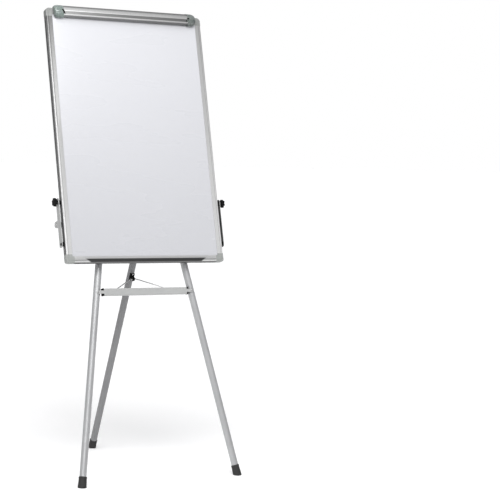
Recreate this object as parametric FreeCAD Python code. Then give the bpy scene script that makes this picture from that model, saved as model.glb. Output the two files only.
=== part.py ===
import FreeCAD, Part
import math
import os

# Tripod flipchart easel: a magnetic whiteboard with a spring clamp bar along its top edge,
# sliding up and down between two side plates on a folding three-legged stand.
#
# Board space: X to the right, Y from the board's front face towards its back, Z up the board
# from its bottom edge. World space: +Z up, floor at 0, origin on the floor at the middle of the
# easel's footprint. All lengths are in millimetres, all angles in degrees.

# Board
BOARD_WIDTH = 600.0
BOARD_HEIGHT = 900.0
FRAME_DEPTH = 20.0
FRAME_WIDTH = 23.0
BOARD_TILT = 16.5
BOARD_BOTTOM_Z = 730.0
CORNER_LENGTH = 30.0
TOP_CORNER_RADIUS = 14.0
BOTTOM_CORNER_RADIUS = 9.0
LIP = 1.8
GROOVE_INSET = 9.0
PANEL_INSET = 12.0
PANEL_FRONT = 2.0
SHEET_THICKNESS = 0.5
CORE_THICKNESS = 9.0
POCKET_INSET = 11.5
POCKET_BACK = 12.4

# T-slot along the outer side of every frame rail
SLOT_DEPTH_CENTRE = 12.0
SLOT_MOUTH = 7.0
SLOT_CAVITY = 12.0
SLOT_LIP = 1.5
SLOT_FLOOR = 6.5

# Stand
LEG_RADIUS = 12.0
TUBE_WALL = 1.2
LEG_PLANE_Y = 46.0
FOOT_HALF_SPACING = 293.0
HEAD_HALF_SPACING = 139.1
CROSS_TUBE_RADIUS = 11.0
CROSS_TUBE_Z = 141.0
REAR_PIVOT_Z = 103.4
REAR_LEG_ANGLE = 23.0

# Side plates and the knobs that clamp the board
PLATE_INNER_X = 307.3
PLATE_THICKNESS = 2.0
PLATE_FRONT_Y = 4.0
PLATE_BACK_Y = 28.0
PLATE_BOTTOM_Z = 56.0
PLATE_TOP_Z = 226.0
KNOB_Z = 212.0
GUIDE_Z = 67.0
SPACER_RADIUS = 7.5
STUD_RADIUS = 3.0

# Crossbar between the front legs
CROSSBAR_TOP_Z = -83.0
CROSSBAR_BOTTOM_Z = -107.5
CROSSBAR_FRONT_Y = 32.2
CROSSBAR_BACK_Y = 45.0
CROSSBAR_HALF_LENGTH = 158.0
CROSSBAR_SHEET = 1.6
TONGUE_HEIGHT = 11.0

# V-shaped wire brace between the crossbar and the rear leg
WIRE_RADIUS = 2.0
BRACE_PIVOT_Y = 49.0
BRACE_PIVOT_Z = -93.5
BRACE_HALF_SPAN = 127.0
CATCH_ALONG_LEG = 157.4
CATCH_STANDOFF = 27.3

# Clamp bar along the top edge
CLAMP_PIVOT_Y = 3.0
CLAMP_PIVOT_RISE = 4.6
CLAMP_ROD_RADIUS = 2.0
CLAMP_BAR_HALF = 240.0
CLAMP_END = 273.0
CLAMP_BRACKET_X = 150.0

# Rubber feet
FOOT_TOP_RADIUS = 13.4
FOOT_BOTTOM_RADIUS = 14.8
FOOT_HEIGHT = 36.0
FOOT_SOLE = 6.0

ORIGIN = FreeCAD.Vector(0, 0, 0)
X_AXIS = FreeCAD.Vector(1, 0, 0)
Y_AXIS = FreeCAD.Vector(0, 1, 0)
Z_AXIS = FreeCAD.Vector(0, 0, 1)
FULL_TURN = 360.0

parts = {}


# ---------------------------------------------------------------- small tools

def vec(x, y, z):
    return FreeCAD.Vector(x, y, z)


def block(x0, x1, y0, y1, z0, z1):
    """A box between two corners."""
    return Part.makeBox(x1 - x0, y1 - y0, z1 - z0, vec(x0, y0, z0))


def rod(start, end, radius):
    """A round bar between two points."""
    axis = end - start
    return Part.makeCylinder(radius, axis.Length, start, axis)


def pipe(start, end, outer, inner):
    """A round tube between two points."""
    return rod(start, end, outer).cut(rod(start, end, inner))


def outline(steps, place):
    """A closed wire. A step of two numbers is a line to that point, one of four numbers is an
    arc through the first point to the second. place turns a flat point into a point in space."""
    edges = []
    here = steps[0]
    for step in list(steps[1:]) + [steps[0]]:
        target = step[-2:]
        if len(step) == 4:
            arc = Part.Arc(place(*here), place(*step[:2]), place(*target))
            edges.append(arc.toShape())
        elif math.dist(here, target) > 1e-6:
            edges.append(Part.makeLine(place(*here), place(*target)))
        here = target
    return Part.Wire(edges)


def extrude_x(steps, x0, x1):
    """An outline in board depth and height, given thickness along X."""
    wire = outline(steps, lambda y, z: vec(x0, y, z))
    return Part.Face(wire).extrude(vec(x1 - x0, 0, 0))


def mirrored(shape):
    """The same piece on the other side of the easel."""
    return shape.mirror(ORIGIN, X_AXIS)


def on_board(shape):
    """Carries a shape from board space to the easel standing on the floor."""
    shape = shape.copy()
    shape.rotate(ORIGIN, X_AXIS, -BOARD_TILT)
    shape.translate(vec(0, 0, BOARD_BOTTOM_Z))
    return shape


def board_point(x, y, z):
    """The place on the standing easel of a point in board space."""
    tilt = math.radians(BOARD_TILT)
    return vec(x, y * math.cos(tilt) + z * math.sin(tilt),
               BOARD_BOTTOM_Z - y * math.sin(tilt) + z * math.cos(tilt))


def floor_height_in_board_space(y):
    """The board-space Z at which a plane parallel to the board meets the floor."""
    tilt = math.radians(BOARD_TILT)
    return (y * math.sin(tilt) - BOARD_BOTTOM_Z) / math.cos(tilt)


def above_floor(shape):
    """Cuts away whatever lies below the floor."""
    reach = 2000.0
    return shape.cut(block(-reach, reach, -reach, reach, -reach, 0))


def add_pair(name, shape):
    """Adds a right-hand piece and its left-hand twin."""
    parts["right_" + name] = shape
    parts["left_" + name] = mirrored(shape)


# ---------------------------------------------------------------- board frame

def rail_outline():
    """Frame section as (distance in from the outer edge, depth): a flat with a rounded outer
    bead, a T-slot in the outer side and a pocket for the panel on the inner side."""
    mouth_front = SLOT_DEPTH_CENTRE - SLOT_MOUTH / 2
    mouth_back = SLOT_DEPTH_CENTRE + SLOT_MOUTH / 2
    cavity_front = SLOT_DEPTH_CENTRE - SLOT_CAVITY / 2
    cavity_back = SLOT_DEPTH_CENTRE + SLOT_CAVITY / 2
    return [
        (FRAME_WIDTH, 0.5),
        (FRAME_WIDTH - 0.5, 0.0),
        (GROOVE_INSET + 0.6, 0.0),
        (GROOVE_INSET + 0.3, 0.7),
        (GROOVE_INSET - 0.3, 0.7),
        (GROOVE_INSET - 0.6, 0.0),
        (2.3, 1.4, 0.0, 5.0),
        (0.0, mouth_front),
        (SLOT_LIP, mouth_front),
        (SLOT_LIP, cavity_front),
        (SLOT_FLOOR, cavity_front),
        (SLOT_FLOOR, cavity_back),
        (SLOT_LIP, cavity_back),
        (SLOT_LIP, mouth_back),
        (0.0, mouth_back),
        (0.0, FRAME_DEPTH - 1.5),
        (0.44, FRAME_DEPTH - 0.44, 1.5, FRAME_DEPTH),
        (FRAME_WIDTH - 2.0, FRAME_DEPTH),
        (FRAME_WIDTH, FRAME_DEPTH - 2.0),
        (FRAME_WIDTH, POCKET_BACK),
        (POCKET_INSET, POCKET_BACK),
        (POCKET_INSET, LIP),
        (FRAME_WIDTH, LIP),
    ]


# Hollow inside every rail that the corner pieces' tongues slide into.
HOLLOW_OUTER = 9.0
HOLLOW_INNER = 20.5
HOLLOW_FRONT = 14.0
HOLLOW_BACK = 18.4
TONGUE_PLAY = 0.2
TONGUE_LENGTH = 22.0


def side_rail():
    """Right-hand frame rail."""
    edge = BOARD_WIDTH / 2
    start = CORNER_LENGTH
    length = BOARD_HEIGHT - 2 * CORNER_LENGTH
    wire = outline(rail_outline(), lambda inset, depth: vec(edge - inset, depth, start))
    rail = Part.Face(wire).extrude(vec(0, 0, length))
    hollow = block(edge - HOLLOW_INNER, edge - HOLLOW_OUTER, HOLLOW_FRONT, HOLLOW_BACK,
                   start - 1, start + length + 1)
    return rail.cut(hollow)


def end_rail(top):
    """Top or bottom frame rail."""
    edge = BOARD_HEIGHT if top else 0.0
    inward = -1.0 if top else 1.0
    half = BOARD_WIDTH / 2 - CORNER_LENGTH
    wire = outline(rail_outline(), lambda inset, depth: vec(-half, depth, edge + inward * inset))
    rail = Part.Face(wire).extrude(vec(2 * half, 0, 0))
    heights = sorted([edge + inward * HOLLOW_OUTER, edge + inward * HOLLOW_INNER])
    hollow = block(-half - 1, half + 1, HOLLOW_FRONT, HOLLOW_BACK, heights[0], heights[1])
    return rail.cut(hollow)


def rounded_corner(size_x, size_z, radius, y0, y1, inset):
    """A plate whose outer corner, at the origin, is rounded. It grows towards -X and +Z."""
    radius = max(radius - inset, 0.5)
    middle = radius * (1 - math.sqrt(0.5))
    steps = [
        (-inset - radius, inset),
        (-inset - middle, inset + middle, -inset, inset + radius),
        (-inset, size_z),
        (-size_x, size_z),
        (-size_x, inset),
    ]
    wire = outline(steps, lambda x, z: vec(x, y0, z))
    return Part.Face(wire).extrude(vec(0, y1 - y0, 0))


def corner_piece(radius):
    """Bottom right corner piece of the frame, in its own space with the corner at the origin."""
    body = rounded_corner(CORNER_LENGTH, CORNER_LENGTH, radius, 0, FRAME_DEPTH, 0)
    rim = []
    for edge in body.Edges:
        box = edge.BoundBox
        on_front = box.YMax < 0.01
        on_outside = box.ZMin < radius + 0.1 and box.XMax > -radius - 0.1
        if on_front and on_outside:
            rim.append(edge)
    body = body.makeFillet(3.2, rim)
    notch = block(-CORNER_LENGTH - 1, -FRAME_WIDTH, -1, FRAME_DEPTH + 1, FRAME_WIDTH, CORNER_LENGTH + 1)
    pocket = block(-CORNER_LENGTH - 1, -POCKET_INSET, LIP, POCKET_BACK, POCKET_INSET, CORNER_LENGTH + 1)
    groove = rounded_corner(CORNER_LENGTH + 1, CORNER_LENGTH + 1, radius, -1, 0.7, GROOVE_INSET - 0.4)
    groove = groove.cut(rounded_corner(CORNER_LENGTH + 2, CORNER_LENGTH + 2, radius, -2, 2,
                                       GROOVE_INSET + 0.4))
    body = body.cut(notch).cut(pocket).cut(groove)
    low = HOLLOW_OUTER + TONGUE_PLAY
    high = HOLLOW_INNER - TONGUE_PLAY
    front = HOLLOW_FRONT + TONGUE_PLAY
    back = HOLLOW_BACK - TONGUE_PLAY
    end = CORNER_LENGTH + TONGUE_LENGTH
    upright = block(-high, -low, front, back, CORNER_LENGTH - 1, end)
    level = block(-end, -CORNER_LENGTH + 1, front, back, low, high)
    return body.fuse(upright).fuse(level).removeSplitter()


def corner_screw_places():
    """Places, in the corner piece's own space, of the screws that hold its two tongues."""
    middle = (HOLLOW_OUTER + HOLLOW_INNER) / 2
    along = CORNER_LENGTH + 10.0
    return [(-middle, along), (-along, middle)]


def corner_at(shape, right, top):
    """Puts a bottom right corner shape at any of the four corners."""
    if top:
        shape = shape.mirror(ORIGIN, Z_AXIS)
    shape = shape.copy()
    shape.translate(vec(BOARD_WIDTH / 2, 0, BOARD_HEIGHT if top else 0))
    return shape if right else mirrored(shape)


SCREW_HEAD_RADIUS = 3.4
SCREW_HEAD_RISE = 1.4
SCREW_SHANK_RADIUS = 1.4
SCREW_LENGTH = 5.0
SCREW_SLOT = 0.9


def small_screw(x, z):
    """Pan head self-tapping screw driven into the back of the frame."""
    back = FRAME_DEPTH
    head = Part.makeCylinder(SCREW_HEAD_RADIUS, SCREW_HEAD_RISE, vec(x, back, z), Y_AXIS)
    top = [edge for edge in head.Edges if edge.BoundBox.YMin > back + SCREW_HEAD_RISE - 0.01]
    head = head.makeFillet(0.6, top)
    shank = rod(vec(x, back - SCREW_LENGTH, z), vec(x, back + 0.2, z), SCREW_SHANK_RADIUS)
    recess = block(x - SCREW_SLOT / 2, x + SCREW_SLOT / 2, back + 0.6, back + 3, z - 2.2, z + 2.2)
    cross = block(x - 2.2, x + 2.2, back + 0.6, back + 3, z - SCREW_SLOT / 2, z + SCREW_SLOT / 2)
    return head.fuse(shank).cut(recess).cut(cross)


def screw_hole(x, z):
    """The hole one of those screws sits in."""
    return rod(vec(x, FRAME_DEPTH - SCREW_LENGTH - 0.5, z), vec(x, FRAME_DEPTH + 1, z),
               SCREW_SHANK_RADIUS + 0.02)


def make_frame():
    """Four rails, four corner pieces and the screws that join them."""
    holes = []
    screws = []
    for right in (True, False):
        for top in (True, False):
            for x, z in corner_screw_places():
                holes.append(corner_at(screw_hole(x, z), right, top))
                screws.append(corner_at(small_screw(x, z), right, top))
    all_holes = Part.makeCompound(holes)
    for top in (True, False):
        radius = TOP_CORNER_RADIUS if top else BOTTOM_CORNER_RADIUS
        level = "top" if top else "bottom"
        piece = corner_piece(radius)
        for right in (True, False):
            side = "right" if right else "left"
            parts[level + "_" + side + "_corner"] = corner_at(piece, right, top).cut(all_holes)
        parts[level + "_rail"] = end_rail(top).cut(all_holes)
    rail = side_rail()
    parts["right_side_rail"] = rail.cut(all_holes)
    parts["left_side_rail"] = mirrored(rail).cut(all_holes)
    parts["corner_screws"] = Part.makeCompound(screws)


def make_panel():
    """Writing surface, core and back sheet, held in the pockets of the rails."""
    half = BOARD_WIDTH / 2 - PANEL_INSET
    low = PANEL_INSET
    high = BOARD_HEIGHT - PANEL_INSET
    core_front = PANEL_FRONT + SHEET_THICKNESS
    core_back = core_front + CORE_THICKNESS
    parts["writing_surface"] = block(-half, half, PANEL_FRONT, core_front, low, high)
    parts["board_core"] = block(-half, half, core_front, core_back, low, high)
    parts["back_sheet"] = block(-half, half, core_back, core_back + SHEET_THICKNESS, low, high)


# ---------------------------------------------------------------- clamp bar

def top_edge(points):
    """Turns clamp points, measured from the board's top edge, into board space."""
    moved = []
    for point in points:
        if len(point) == 4:
            moved.append((point[0], point[1] + BOARD_HEIGHT, point[2], point[3] + BOARD_HEIGHT))
        else:
            moved.append((point[0], point[1] + BOARD_HEIGHT))
    return moved


def clamp_bar():
    """Aluminium extrusion: rounded brow, recessed band, thin ridge and a lip that presses the
    paper against the writing surface."""
    section = top_edge([
        (11.0, 7.0),
        (11.0, 8.9),
        (10.7, 9.6, 10.0, 9.9),
        (0.5, 9.9),
        (-11.4, 3.6, -17.6, -7.0),
        (-18.9, -11.4, -18.9, -15.6),
        (-17.7, -15.9),
        (-17.3, -25.0),
        (-18.9, -27.4, -17.3, -29.8),
        (-15.8, -30.2),
        (-9.6, -33.0),
        (-8.6, -33.4),
        (1.4, -33.4),
        (1.4, -31.8),
        (-8.2, -31.6),
        (-15.3, -28.4),
        (-15.6, -15.2),
        (-15.0, -8.0),
        (-9.0, 2.6, 1.0, 8.3),
        (9.4, 8.3),
        (9.4, 7.0),
    ])
    bar = extrude_x(section, -CLAMP_BAR_HALF, CLAMP_BAR_HALF)
    return bar.cut(end_scoop()).cut(mirrored(end_scoop()))


def end_scoop():
    """Slanted cut through the recessed band where the bar meets its right end cap."""
    bottom = BOARD_HEIGHT - 25.5
    top = BOARD_HEIGHT - 9.5
    points = [(CLAMP_BAR_HALF + 8, top), (CLAMP_BAR_HALF - 1, top), (CLAMP_BAR_HALF - 7, bottom),
              (CLAMP_BAR_HALF + 1, bottom)]
    wire = outline(points, lambda x, z: vec(x, -30, z))
    return Part.Face(wire).extrude(vec(0, 17.5, 0))


CAP_ROUNDING = 15.0
CAP_TIP_SIZE = 0.45
CAP_TIP_Y = -8.0
CAP_TIP_DROP = 12.5
ROD_REACH = 256.0


def clamp_cap():
    """Right end cap of the clamp bar: a rounded moulding that carries the end of the rod."""
    section = top_edge([
        (-0.5, 0.7),
        (3.6, 0.7),
        (6.6, 2.0, 8.0, 5.0),
        (11.4, 7.4),
        (11.4, 9.2),
        (11.0, 10.2, 10.0, 10.6),
        (0.5, 10.6),
        (-12.2, 4.2, -18.4, -7.0),
        (-20.6, -14.5, -19.6, -22.5),
        (-17.2, -30.5, -9.5, -36.0),
        (-5.0, -36.8, -0.5, -36.0),
    ])
    cap = extrude_x(section, CLAMP_BAR_HALF + 0.1, CLAMP_END - CAP_ROUNDING)
    rings = []
    for step in (0.0, 0.3, 0.55, 0.75, 0.9, 1.0):
        size = CAP_TIP_SIZE + (1 - CAP_TIP_SIZE) * math.sqrt(1 - step ** 2)
        x = CLAMP_END - CAP_ROUNDING * (1 - step)
        ring = outline(section, lambda y, z: vec(x, y, z))
        ring.scale(size, vec(x, CAP_TIP_Y, BOARD_HEIGHT - CAP_TIP_DROP))
        rings.append(ring)
    cap = cap.fuse(Part.makeLoft(rings, True, True))
    rail_room = block(CLAMP_BAR_HALF, CLAMP_END + 1, -0.5, 30.0, BOARD_HEIGHT - 60, BOARD_HEIGHT + 0.7)
    cap = cap.cut(rail_room)
    hole = rod(vec(CLAMP_BAR_HALF - 5, CLAMP_PIVOT_Y, BOARD_HEIGHT + CLAMP_PIVOT_RISE),
               vec(ROD_REACH + 1, CLAMP_PIVOT_Y, BOARD_HEIGHT + CLAMP_PIVOT_RISE),
               CLAMP_ROD_RADIUS + 0.06)
    return cap.cut(hole).cut(end_scoop())


CLAMP_BRACKET_SHEET = 1.6
CLAMP_SCREW_RADIUS = 1.5


def clamp_bracket():
    """Right bracket on the top rail: a base plate with two lugs that hold the rod."""
    rail_top = BOARD_HEIGHT
    pivot_z = rail_top + CLAMP_PIVOT_RISE
    half = 14.0
    lug = 2.0
    eye_radius = 3.3
    front = -0.5
    back = 19.0
    bracket = block(CLAMP_BRACKET_X - half, CLAMP_BRACKET_X + half, front, back,
                    rail_top, rail_top + CLAMP_BRACKET_SHEET)
    for x in (CLAMP_BRACKET_X - half, CLAMP_BRACKET_X + half - lug):
        eye = Part.makeCylinder(eye_radius, lug, vec(x, CLAMP_PIVOT_Y, pivot_z), X_AXIS)
        web = block(x, x + lug, CLAMP_PIVOT_Y - eye_radius, CLAMP_PIVOT_Y + eye_radius, rail_top, pivot_z)
        bracket = bracket.fuse(eye).fuse(web)
    bore = rod(vec(CLAMP_BRACKET_X - 20, CLAMP_PIVOT_Y, pivot_z),
               vec(CLAMP_BRACKET_X + 20, CLAMP_PIVOT_Y, pivot_z), CLAMP_ROD_RADIUS + 0.02)
    sink = Part.makeCone(1.62, 3.3, 1.7, vec(CLAMP_BRACKET_X, SLOT_DEPTH_CENTRE, rail_top), Z_AXIS)
    return bracket.cut(bore).cut(sink).removeSplitter()


def clamp_bracket_screw(x):
    """Countersunk screw and square nut that hold a bracket in the top rail's slot."""
    top = BOARD_HEIGHT + CLAMP_BRACKET_SHEET
    length = 7.2
    head_height = 1.55
    head_radius = 3.15
    slot_half_length = 2.4
    slot_half_width = 0.35
    slot_depth = 0.6
    head = Part.makeCone(CLAMP_SCREW_RADIUS + 0.05, head_radius, head_height,
                         vec(x, SLOT_DEPTH_CENTRE, top - head_height), Z_AXIS)
    shank = rod(vec(x, SLOT_DEPTH_CENTRE, top - length), vec(x, SLOT_DEPTH_CENTRE, top - 1.5),
                CLAMP_SCREW_RADIUS)
    slot = block(x - slot_half_length, x + slot_half_length, SLOT_DEPTH_CENTRE - slot_half_width,
                 SLOT_DEPTH_CENTRE + slot_half_width, top - slot_depth, top + 1)
    return head.fuse(shank).cut(slot)


def clamp_slot_nut(x):
    """Square nut in the top rail's slot."""
    high = BOARD_HEIGHT - SLOT_LIP - 0.1
    half = 5.0
    thickness = 3.2
    nut = block(x - half, x + half, SLOT_DEPTH_CENTRE - half, SLOT_DEPTH_CENTRE + half,
                high - thickness, high)
    return nut.cut(rod(vec(x, SLOT_DEPTH_CENTRE, high - thickness - 1),
                       vec(x, SLOT_DEPTH_CENTRE, high + 1), CLAMP_SCREW_RADIUS + 0.02))


def clamp_spring():
    """Right torsion spring on the rod beside its bracket. The close-wound turns are drawn as
    rings that run into each other; one leg lies under the bar and one on the top rail."""
    wire_radius = 0.5
    coil_radius = 2.75
    pitch = 0.9
    turns = 10
    start = vec(CLAMP_BRACKET_X + 16.0, CLAMP_PIVOT_Y, BOARD_HEIGHT + CLAMP_PIVOT_RISE)
    spring = None
    for turn in range(turns):
        ring = Part.makeTorus(coil_radius, wire_radius, start + X_AXIS * turn * pitch, X_AXIS)
        spring = ring if spring is None else spring.fuse(ring)
    first = start + vec(0, 0, -coil_radius)
    last = start + vec((turns - 1) * pitch, -coil_radius * 0.2, coil_radius)
    low_leg = rod(first, first + vec(0, 9.0, 0), wire_radius * 0.9)
    high_leg = rod(last, last + vec(0, -7.0, -3.2), wire_radius * 0.9)
    return spring.fuse(low_leg).fuse(high_leg)


def make_clamp():
    """Clamp bar with its caps, rod, brackets, fasteners and springs."""
    parts["clamp_bar"] = clamp_bar()
    add_pair("clamp_cap", clamp_cap())
    pivot_z = BOARD_HEIGHT + CLAMP_PIVOT_RISE
    parts["clamp_rod"] = rod(vec(-ROD_REACH, CLAMP_PIVOT_Y, pivot_z), vec(ROD_REACH, CLAMP_PIVOT_Y, pivot_z),
                             CLAMP_ROD_RADIUS)
    add_pair("clamp_bracket", clamp_bracket())
    places = (-CLAMP_BRACKET_X, CLAMP_BRACKET_X)
    parts["clamp_bracket_screws"] = Part.makeCompound([clamp_bracket_screw(x) for x in places])
    parts["clamp_slot_nuts"] = Part.makeCompound([clamp_slot_nut(x) for x in places])
    add_pair("clamp_spring", clamp_spring())


# ---------------------------------------------------------------- side plates and knobs

GUIDE_SCREW_RADIUS = 2.55
GUIDE_HOLE_RADIUS = 2.6
END_SCREW_RADIUS = 2.45
SCREW_HEAD_OUTER = 4.8


def plate_hole(y, z, radius):
    """A hole through the right side plate."""
    return rod(vec(PLATE_INNER_X - 1, y, z), vec(PLATE_INNER_X + PLATE_THICKNESS + 1, y, z), radius)


def side_plate():
    """Right side plate: a strip beside the board with an ear for the cross tube."""
    end = 8.0
    ear = 10.5
    fillet = 3.0
    mid = (1 - math.sqrt(0.5))
    front = PLATE_FRONT_Y
    back = PLATE_BACK_Y
    low = PLATE_BOTTOM_Z
    high = PLATE_TOP_Z
    section = [
        (front + end, low),
        (back - end, low),
        (back - end * mid, low + end * mid, back, low + end),
        (back, CROSS_TUBE_Z - ear - fillet),
        (back + fillet * mid, CROSS_TUBE_Z - ear - fillet * mid, back + fillet, CROSS_TUBE_Z - ear),
        (LEG_PLANE_Y, CROSS_TUBE_Z - ear),
        (LEG_PLANE_Y + ear, CROSS_TUBE_Z, LEG_PLANE_Y, CROSS_TUBE_Z + ear),
        (back + fillet, CROSS_TUBE_Z + ear),
        (back + fillet * mid, CROSS_TUBE_Z + ear + fillet * mid, back, CROSS_TUBE_Z + ear + fillet),
        (back, high - end),
        (back - end * mid, high - end * mid, back - end, high),
        (front + end, high),
        (front + end * mid, high - end * mid, front, high - end),
        (front, low + end),
        (front + end * mid, low + end * mid, front + end, low),
    ]
    plate = extrude_x(section, PLATE_INNER_X, PLATE_INNER_X + PLATE_THICKNESS)
    plate = plate.cut(plate_hole(SLOT_DEPTH_CENTRE, KNOB_Z, STUD_RADIUS + 0.3))
    plate = plate.cut(plate_hole(SLOT_DEPTH_CENTRE, GUIDE_Z, GUIDE_HOLE_RADIUS))
    return plate.cut(plate_hole(LEG_PLANE_Y, CROSS_TUBE_Z, END_SCREW_RADIUS + 0.1))


def spacer(z, bore):
    """Black washer-shaped spacer between the frame and the right side plate."""
    start = vec(BOARD_WIDTH / 2 + 0.3, SLOT_DEPTH_CENTRE, z)
    end = vec(PLATE_INNER_X, SLOT_DEPTH_CENTRE, z)
    ring = rod(start, end, SPACER_RADIUS)
    rims = [edge for edge in ring.Edges if edge.BoundBox.XLength < 0.01]
    ring = ring.makeFillet(0.6, rims)
    return ring.cut(rod(start - X_AXIS, end + X_AXIS, bore))


def slot_block():
    """T-shaped block that rides in the slot of the right side rail."""
    z = GUIDE_Z
    half_length = 9.0
    play = 0.35
    outer = BOARD_WIDTH / 2
    lip_inner = outer - SLOT_LIP - play
    floor = outer - SLOT_FLOOR + play
    half_cavity = SLOT_CAVITY / 2 - play
    half_mouth = SLOT_MOUTH / 2 - play
    centre = SLOT_DEPTH_CENTRE
    body = block(floor, lip_inner, centre - half_cavity, centre + half_cavity,
                 z - half_length, z + half_length)
    neck = block(lip_inner - 0.5, outer + 0.28, centre - half_mouth, centre + half_mouth,
                 z - half_length, z + half_length)
    hole = rod(vec(floor - 1, centre, z), vec(outer + 2, centre, z), GUIDE_HOLE_RADIUS)
    return body.fuse(neck).cut(hole).removeSplitter()


def slot_nut():
    """Square steel nut that the right knob's stud screws into."""
    z = KNOB_Z
    half_length = 7.0
    play = 0.4
    outer = BOARD_WIDTH / 2
    half = SLOT_CAVITY / 2 - play
    centre = SLOT_DEPTH_CENTRE
    inner_x = outer - SLOT_FLOOR + play
    outer_x = outer - SLOT_LIP - play
    nut = block(inner_x, outer_x, centre - half, centre + half, z - half_length, z + half_length)
    return nut.cut(rod(vec(inner_x - 1, centre, z), vec(outer_x + 1, centre, z), STUD_RADIUS + 0.06))


def pan_head(x, y, z, radius, rise):
    """Rounded screw head on the right side, its flat at x, with a cross recess."""
    head = Part.makeCylinder(radius, rise, vec(x, y, z), X_AXIS)
    outer = [edge for edge in head.Edges if edge.BoundBox.XMin > x + rise - 0.01]
    head = head.makeFillet(rise * 0.5, outer)
    width = radius * 0.28
    reach = radius * 0.55
    deep = rise * 0.5
    upright = block(x + rise - deep, x + rise + 1, y - width / 2, y + width / 2, z - reach, z + reach)
    level = block(x + rise - deep, x + rise + 1, y - reach, y + reach, z - width / 2, z + width / 2)
    return head.cut(upright).cut(level)


def guide_screw():
    """Screw through the lower end of the right side plate into the slot block."""
    plate_outer = PLATE_INNER_X + PLATE_THICKNESS
    head = pan_head(plate_outer, SLOT_DEPTH_CENTRE, GUIDE_Z, SCREW_HEAD_OUTER, 2.4)
    shank = rod(vec(BOARD_WIDTH / 2 - SLOT_FLOOR + 1.0, SLOT_DEPTH_CENTRE, GUIDE_Z),
                vec(plate_outer + 0.5, SLOT_DEPTH_CENTRE, GUIDE_Z), GUIDE_SCREW_RADIUS)
    return head.fuse(shank)


KNOB_LOBES = 6
KNOB_RADIUS = 14.8
KNOB_HUB_RADIUS = 7.0
WASHER_RADIUS = 7.6
WASHER_THICKNESS = 1.0
HUB_LENGTH = 5.2
GRIP_THICKNESS = 10.2


def knob_base_x():
    """Where the right knob's hub begins, just clear of its washer."""
    return PLATE_INNER_X + PLATE_THICKNESS + WASHER_THICKNESS + 0.1


def lobed_ring(x, size):
    """Outline of the right knob's grip at one X: rounded lobes with hollows between them."""
    tip = KNOB_RADIUS * size
    shoulder = (KNOB_RADIUS - 2.0) * size
    valley = (KNOB_RADIUS - 3.3) * size
    pitch = FULL_TURN / KNOB_LOBES
    half_lobe = pitch * 0.29

    def at(radius, degrees):
        angle = math.radians(degrees)
        return (radius * math.sin(angle), radius * math.cos(angle))

    steps = [at(shoulder, -half_lobe)]
    for lobe in range(KNOB_LOBES):
        angle = lobe * pitch
        steps.append(at(tip, angle) + at(shoulder, angle + half_lobe))
        steps.append(at(valley, angle + pitch / 2) + at(shoulder, angle + pitch - half_lobe))
    return outline(steps, lambda y, z: vec(x, SLOT_DEPTH_CENTRE + y, KNOB_Z + z))


def knob():
    """Right star knob: a lobed grip on a round hub."""
    start = knob_base_x()
    grip_x = start + HUB_LENGTH
    hub = Part.makeCylinder(KNOB_HUB_RADIUS, HUB_LENGTH + 1, vec(start, SLOT_DEPTH_CENTRE, KNOB_Z), X_AXIS)
    profile = ((0.0, 0.91), (0.4, 0.965), (1.3, 1.0), (GRIP_THICKNESS - 1.4, 1.0),
               (GRIP_THICKNESS - 0.5, 0.965), (GRIP_THICKNESS, 0.91))
    grip = Part.makeLoft([lobed_ring(grip_x + rise, size) for rise, size in profile], True, True)
    dish_depth = 1.4
    dish = Part.makeCone(5.0, 7.5, dish_depth,
                         vec(grip_x + GRIP_THICKNESS - dish_depth, SLOT_DEPTH_CENTRE, KNOB_Z), X_AXIS)
    bore = rod(vec(start - 1, SLOT_DEPTH_CENTRE, KNOB_Z), vec(grip_x + 3.0, SLOT_DEPTH_CENTRE, KNOB_Z),
               STUD_RADIUS + 0.01)
    return hub.fuse(grip).cut(dish).cut(bore)


def knob_stud():
    """Threaded stud of the right knob, drawn as a plain bar at its major diameter."""
    tip = BOARD_WIDTH / 2 - SLOT_FLOOR + 0.8
    return rod(vec(tip, SLOT_DEPTH_CENTRE, KNOB_Z),
               vec(knob_base_x() + HUB_LENGTH + 2.8, SLOT_DEPTH_CENTRE, KNOB_Z), STUD_RADIUS)


def knob_washer():
    """Flat washer under the right knob."""
    start = vec(PLATE_INNER_X + PLATE_THICKNESS + 0.05, SLOT_DEPTH_CENTRE, KNOB_Z)
    return pipe(start, start + X_AXIS * WASHER_THICKNESS, WASHER_RADIUS, STUD_RADIUS + 0.35)


def make_sides():
    """Side plates with their spacers, slot pieces, screws and knobs."""
    add_pair("side_plate", side_plate())
    add_pair("upper_spacer", spacer(KNOB_Z, STUD_RADIUS + 0.35))
    add_pair("lower_spacer", spacer(GUIDE_Z, GUIDE_HOLE_RADIUS))
    add_pair("slot_block", slot_block())
    nut = slot_nut()
    parts["knob_slot_nuts"] = Part.makeCompound([nut, mirrored(nut)])
    screw = guide_screw()
    parts["guide_screws"] = Part.makeCompound([screw, mirrored(screw)])
    add_pair("knob_washer", knob_washer())
    add_pair("knob", knob())
    add_pair("knob_stud", knob_stud())


# ---------------------------------------------------------------- stand

def leg_point(z):
    """Point on the right front leg's axis at a board-space height."""
    floor_z = floor_height_in_board_space(LEG_PLANE_Y)
    share = (z - floor_z) / (CROSS_TUBE_Z - floor_z)
    x = FOOT_HALF_SPACING + share * (HEAD_HALF_SPACING - FOOT_HALF_SPACING)
    return vec(x, LEG_PLANE_Y, z)


def leg_direction():
    """Unit vector up the right front leg, in board space."""
    direction = leg_point(CROSS_TUBE_Z) - leg_point(0)
    return direction.normalize()


SOCKET_RADIUS = 15.6
SOCKET_WEB = 6.5
SOCKET_LENGTH = 56.0
RING_HALF_LENGTH = 20.0
SOCKET_SCREW_DROP = 42.0
LEG_END_ABOVE_FLOOR = 8.0


SOCKET_SCREW_RADIUS = 2.0
SOCKET_SCREW_HOLE = 2.05


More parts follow.
